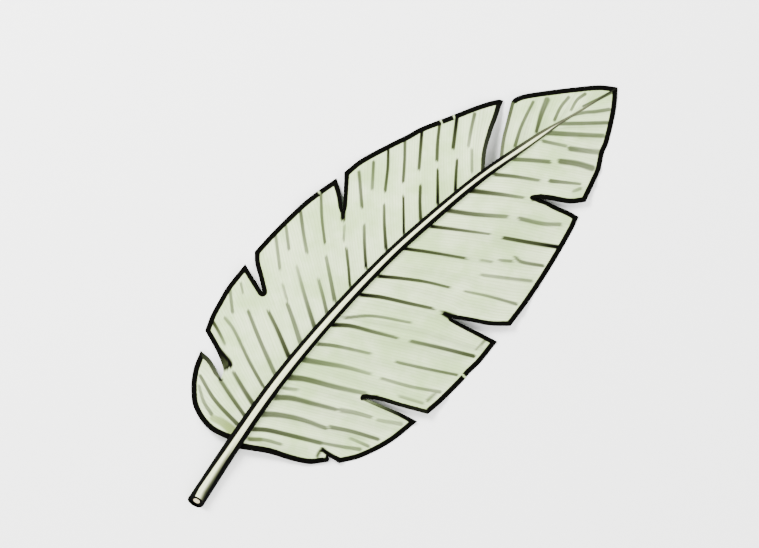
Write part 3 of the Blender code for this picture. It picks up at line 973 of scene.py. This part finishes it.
def rod_point(column, row):
    """Place of a vertex of the rod, and the values that its material reads."""
    station = STALK_END + (RIB_END - STALK_END) * max(0, row - CUT_RINGS) / TUBE_RINGS
    opened = smooth_step(CHANNEL_START, CHANNEL_FULL, station)
    section = END_SECTION[column % AROUND].lerp(SECTION[column % AROUND], opened)
    ring = min(row / CUT_RINGS, 1)
    across, up = section.x * ring, CUT_MIDDLE + (section.y - CUT_MIDDLE) * ring
    middle, sideways, width = rib_frame(station)
    wide = width / MM
    point = middle + sideways * across * width + Vector((0, 0, up * width))
    lean = max(0, 1 - (station - STALK_END) / CUT_RUN)
    point.y += up * width * math.tan(CUT_LEAN) * lean
    inside = (1 - ring) * wide * CUT_RADIUS
    channel = channel_depth(across * wide, up * wide, inside)
    if ring < 1:
        sunk = PITH_SINK * smooth_step(0, PITH_SINK_RUN, inside)
        point.y += (CHANNEL_DEPTH * channel + sunk) * MM
    elif up > 0:
        ripple = RIPPLE_HEIGHT * uneven(across, station, RIPPLE)
        point.z += ripple * min(1, wide / FULL_RIPPLE_WIDTH)
    point.z = max(point.z, ABOVE_FLOOR)
    return point, {
        "station": station,
        "around": column % AROUND / AROUND * WAY_AROUND * wide,
        "flank": (0.5 - abs(across)) * wide,
        "flank_line": read_table(LEFT_LINE if across < 0 else RIGHT_LINE, station),
        "line_dark": read_table(LINE_DARK, station),
        "under": smooth_step(0.0, UNDER_LEVEL, up),
        "cut_edge": inside,
        "channel": channel,
        "shade": shade_at(across * wide, station),
    }


print("top of the cut, mm:", round(rod_point(AROUND // 4, CUT_RINGS)[0].z / MM, 1))

# %% Make the rod
SHARP_ANGLE = math.radians(50)

rows = CUT_RINGS + TUBE_RINGS
mesh = bmesh.new()
for layer in RIB_LAYERS:
    mesh.verts.layers.float.new(layer)
layers = {name: mesh.verts.layers.float[name] for name in RIB_LAYERS}
grid = bmesh.ops.create_grid(mesh, x_segments=AROUND, y_segments=rows, size=0.5)
cut_vertices = set()
for vertex in grid["verts"]:
    row = round((vertex.co.y + 0.5) * rows)
    vertex.co, values = rod_point(round((vertex.co.x + 0.5) * AROUND), row)
    for name, value in values.items():
        vertex[layers[name]] = value
    if row <= CUT_RINGS:
        cut_vertices.add(vertex)
for face in mesh.faces:
    face.material_index = int(all(vertex in cut_vertices for vertex in face.verts))
bmesh.ops.remove_doubles(mesh, verts=mesh.verts, dist=SAME_PLACE / 2)
bmesh.ops.holes_fill(mesh, edges=[edge for edge in mesh.edges if edge.is_boundary])
bmesh.ops.recalc_face_normals(mesh, faces=mesh.faces)
bmesh.ops.translate(mesh, verts=mesh.verts, vec=-LEAF_MIDDLE)
rod = make_object("midrib_and_stalk", mesh)
rod.data.shade_smooth()
rod.data.set_sharp_from_angle(angle=SHARP_ANGLE)
print("midrib and stalk faces:", len(rod.data.polygons))

# %% [markdown]
# ## Blade finish
#
# Both faces of the blade are the same tissue. The underside is paler, because
# it has a bloom of wax over it, and it is dull. The upper side is a deeper
# green and shines. Three scales of pattern lie over each other: soft clouds a
# few centimetres wide, streaks along the veins, and the fine ribs every 5 mm,
# which is coarser than on a real leaf so that they show. The margin has dried
# to a nearly black line, with a yellowing band inside it. Dark places are made
# duller too, because a shiny one would mirror the lamps and look grey.

# %% Helpers for the finishes
def read_layers(tree, names):
    """The values that a mesh keeps under some names."""
    return {name: add(tree, "Attribute", attribute_name=name).outputs["Fac"] for name in names}


def paint(tree, code, *coats):
    """A colour under some coats, each with its own colour and the amount of it."""
    base = colour(code)
    for over, amount in coats:
        base = add(tree, "Mix", {0: amount, 6: base, 7: colour(over)}, data_type="RGBA").outputs[2]
    return base


def ramp(tree, value, low, high, top=1, kind="SMOOTHSTEP"):
    """Step of a value from 0 at low to a top at high."""
    ends = {"Value": value, "From Min": low, "From Max": high, "To Max": top}
    return add(tree, "MapRange", ends, interpolation_type=kind).outputs[0]


def maths(tree, operation, *values):
    return add(tree, "Math", enumerate(values), operation=operation).outputs[0]


def streaky(tree, across, along, width, length, detail):
    """Noise that is stretched along the leaf, over two values in mm."""
    place = add(tree, "CombineXYZ", {"X": across, "Y": along}).outputs["Vector"]
    place = add(tree, "VectorMath", {0: place, 1: (1 / width, 1 / length, 1)},
                operation="MULTIPLY").outputs["Vector"]
    return noise_texture(tree, place, 1, detail)


# %% A blade material
# near-black of dried tissue; on the rod's flanks it is also painted shade in the crease by the
# blade
DRIED_AND_CREASE_SHADE = "#020201"
CLOUD_SIZE, CLOUD_ROUGHNESS, CLOUD_ENDS = 55 * MM, 0.6, (0.35, 0.68)
STREAK_WIDTH, STREAK_LENGTH, STREAK_ENDS, STREAK_COVER = 2.4, 70, (0.3, 0.7), 0.4
RIB_ENDS = (0.2, 1)
RAGGED_SIZE, RAGGED = 4 * MM, 0.8
BAND_WIDTH, BAND_COVER = 2.5, 0.3
LINE_FADE = 0.9
FULL_INK = 0.985
SKIN_SIZE, SKIN_HEIGHT, SKIN_STRENGTH, STREAK_SHARE = 1.3 * MM, 0.12 * MM, 0.35, 0.6
ROUGHNESS_SPREAD, DARK_ROUGHNESS = 0.08, 0.3
SKIN_IOR = 1.45


def blade_material(name, pale, green, vein, dark_vein, dry, band, roughness, gloss, ribs):
    """Plant tissue with clouds, streaks, ribs, bold veins and a dried margin."""
    material, tree = new_material(name)
    read = read_layers(tree, LAYERS)
    place = add(tree, "TexCoord").outputs["Object"]
    clouds = noise_texture(tree, place, CLOUD_SIZE, 4, CLOUD_ROUGHNESS)
    streaks = streaky(tree, read["across"], read["along"], STREAK_WIDTH, STREAK_LENGTH, 3)
    turn = maths(tree, "MULTIPLY", read["across"], 2 * math.pi / (FINE_SPACING / MM))
    wave = maths(tree, "COSINE", turn)
    ragged = noise_texture(tree, place, RAGGED_SIZE, 2)
    inner = maths(tree, "MULTIPLY_ADD", ragged, RAGGED, read["edge"])
    inner = maths(tree, "SUBTRACT", inner, read["edge_line"])
    yellow = ramp(tree, inner, BAND_WIDTH, 0, top=BAND_COVER)
    dried = maths(tree, "MULTIPLY", ramp(tree, inner, LINE_FADE, 0), read["edge_dark"])
    tissue = paint(tree, pale,
                   (green, ramp(tree, clouds, *CLOUD_ENDS)),
                   (green, ramp(tree, streaks, *STREAK_ENDS, top=STREAK_COVER)),
                   (vein, ramp(tree, wave, *RIB_ENDS, top=ribs)),
                   # patches of painted shade, in the vein colour
                   (vein, read["patch"]),
                   (band, maths(tree, "MULTIPLY", yellow, read["edge_dark"])),
                   (dark_vein, read["ink"]),
                   (dry, ramp(tree, read["ink"], FULL_INK, 1)),
                   (dry, dried))

    skin = noise_texture(tree, place, SKIN_SIZE, 3)
    height = maths(tree, "MULTIPLY_ADD", streaks, STREAK_SHARE, skin)
    rough = add(tree, "MapRange", {"Value": streaks, "To Min": roughness - ROUGHNESS_SPREAD,
                                   "To Max": roughness + ROUGHNESS_SPREAD}).outputs[0]
    dark = maths(tree, "MAXIMUM", dried, read["ink"])
    dull = maths(tree, "MULTIPLY_ADD", dark, DARK_ROUGHNESS, rough)
    surface(tree, height, SKIN_STRENGTH, SKIN_HEIGHT, {
        "Base Color": tissue, "Roughness": dull, "IOR": SKIN_IOR, "Specular IOR Level": gloss})
    return material


underside = blade_material(
    "waxy leaf underside", pale="#B9C69E", green="#9BB27A", vein="#66763F",
    dark_vein="#1B1F0D", dry=DRIED_AND_CREASE_SHADE, band="#7E8450", roughness=0.6, gloss=0.03, ribs=0.2)
upper_side = blade_material(
    "glossy leaf upper side", pale="#4C7A2A", green="#33601C", vein="#93A955",
    dark_vein="#1E240E", dry="#1A130B", band="#7A6E34", roughness=0.36, gloss=0.5, ribs=0.25)
for blade in (blade_left, blade_right):
    blade.data.materials.append(underside)
    blade.data.materials.append(upper_side)
print("blade materials:", underside.name, "and", upper_side.name)

# %% [markdown]
# ## Midrib finish
#
# The rod is the palest part of the leaf, a smooth yellow-green skin over long
# fibres, which show as faint streaks. Its flanks are dark where they meet the
# blade, partly as its own dark edge and partly as painted shade in that crease,
# and the stalk's right flank has painted shade. The cut face has a wide dark rim
# round cream pith with air channels, whose pits are darkened with painted shade.

# %% The rod's skin
FIBRE_WIDTH, FIBRE_LENGTH, FIBRE_ENDS = 1.1, 60, (0.35, 0.7)
FLANK_ENDS = (0.8, -0.3)
ROD_ROUGHNESS, LINE_ROUGHNESS, ROD_GLOSS = 0.45, 0.5, 0.05
FIBRE_HEIGHT, FIBRE_STRENGTH = 0.2 * MM, 0.3

rod_material, tree = new_material("smooth midrib skin")
read = read_layers(tree, RIB_LAYERS)
fibres = streaky(tree, read["around"], read["station"], FIBRE_WIDTH, FIBRE_LENGTH, 4)
# dark flank lines: partly the rod's own dark edge, partly painted shade in the crease where it
# meets the blade
inner = maths(tree, "MULTIPLY_ADD", fibres, RAGGED, read["flank"])
inner = maths(tree, "SUBTRACT", inner, read["flank_line"])
above = maths(tree, "SUBTRACT", 1, read["under"])
line = maths(tree, "MULTIPLY", ramp(tree, inner, *FLANK_ENDS), above)
line = maths(tree, "MULTIPLY", line, read["line_dark"])
# the stalk's right flank is darkened here as painted shade
skin = paint(tree, "#D2D8AE", ("#BAC48E", ramp(tree, fibres, *FIBRE_ENDS, kind="LINEAR")),
             ("#6F8A3E", read["under"]), ("#14170B", read["shade"]), (DRIED_AND_CREASE_SHADE, line))
dull = maths(tree, "MULTIPLY_ADD", line, LINE_ROUGHNESS, ROD_ROUGHNESS)
surface(tree, fibres, FIBRE_STRENGTH, FIBRE_HEIGHT, {
    "Base Color": skin, "Roughness": dull, "IOR": SKIN_IOR, "Specular IOR Level": ROD_GLOSS})
rod.data.materials.append(rod_material)
print("rod material:", rod_material.name)

# %% The cut face
SPONGE_SIZE, SPONGE_HEIGHT, SPONGE_STRENGTH = 1.0 * MM, 0.2 * MM, 0.4
RIM_ENDS = (7.2, 6.2)
PITH_ROUGHNESS, PITH_IOR = 0.95, 1.4

cut_material, tree = new_material("cut spongy pith")
read = read_layers(tree, RIB_LAYERS)
sponge = noise_texture(tree, add(tree, "TexCoord").outputs["Object"], SPONGE_SIZE, 3)
# the air channels are darkened by their depth: painted shade in the pits
pith = paint(tree, "#E6DEBB", ("#CBBE8E", sponge), ("#5A4B2A", read["channel"]),
             (DRIED_AND_CREASE_SHADE, ramp(tree, read["cut_edge"], *RIM_ENDS)))
surface(tree, sponge, SPONGE_STRENGTH, SPONGE_HEIGHT, {
    "Base Color": pith, "Roughness": PITH_ROUGHNESS, "IOR": PITH_IOR,
    "Specular IOR Level": ROD_GLOSS})
rod.data.materials.append(cut_material)
print("cut face:", cut_material.name)

# %% [markdown]
# ## Hand the pieces over
#
# Each piece stands for the solid leaf and moves with it.

# %% Replace the solid leaf
for piece in (blade_left, blade_right, rod):
    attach(piece, "root")
    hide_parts("banana_leaf")
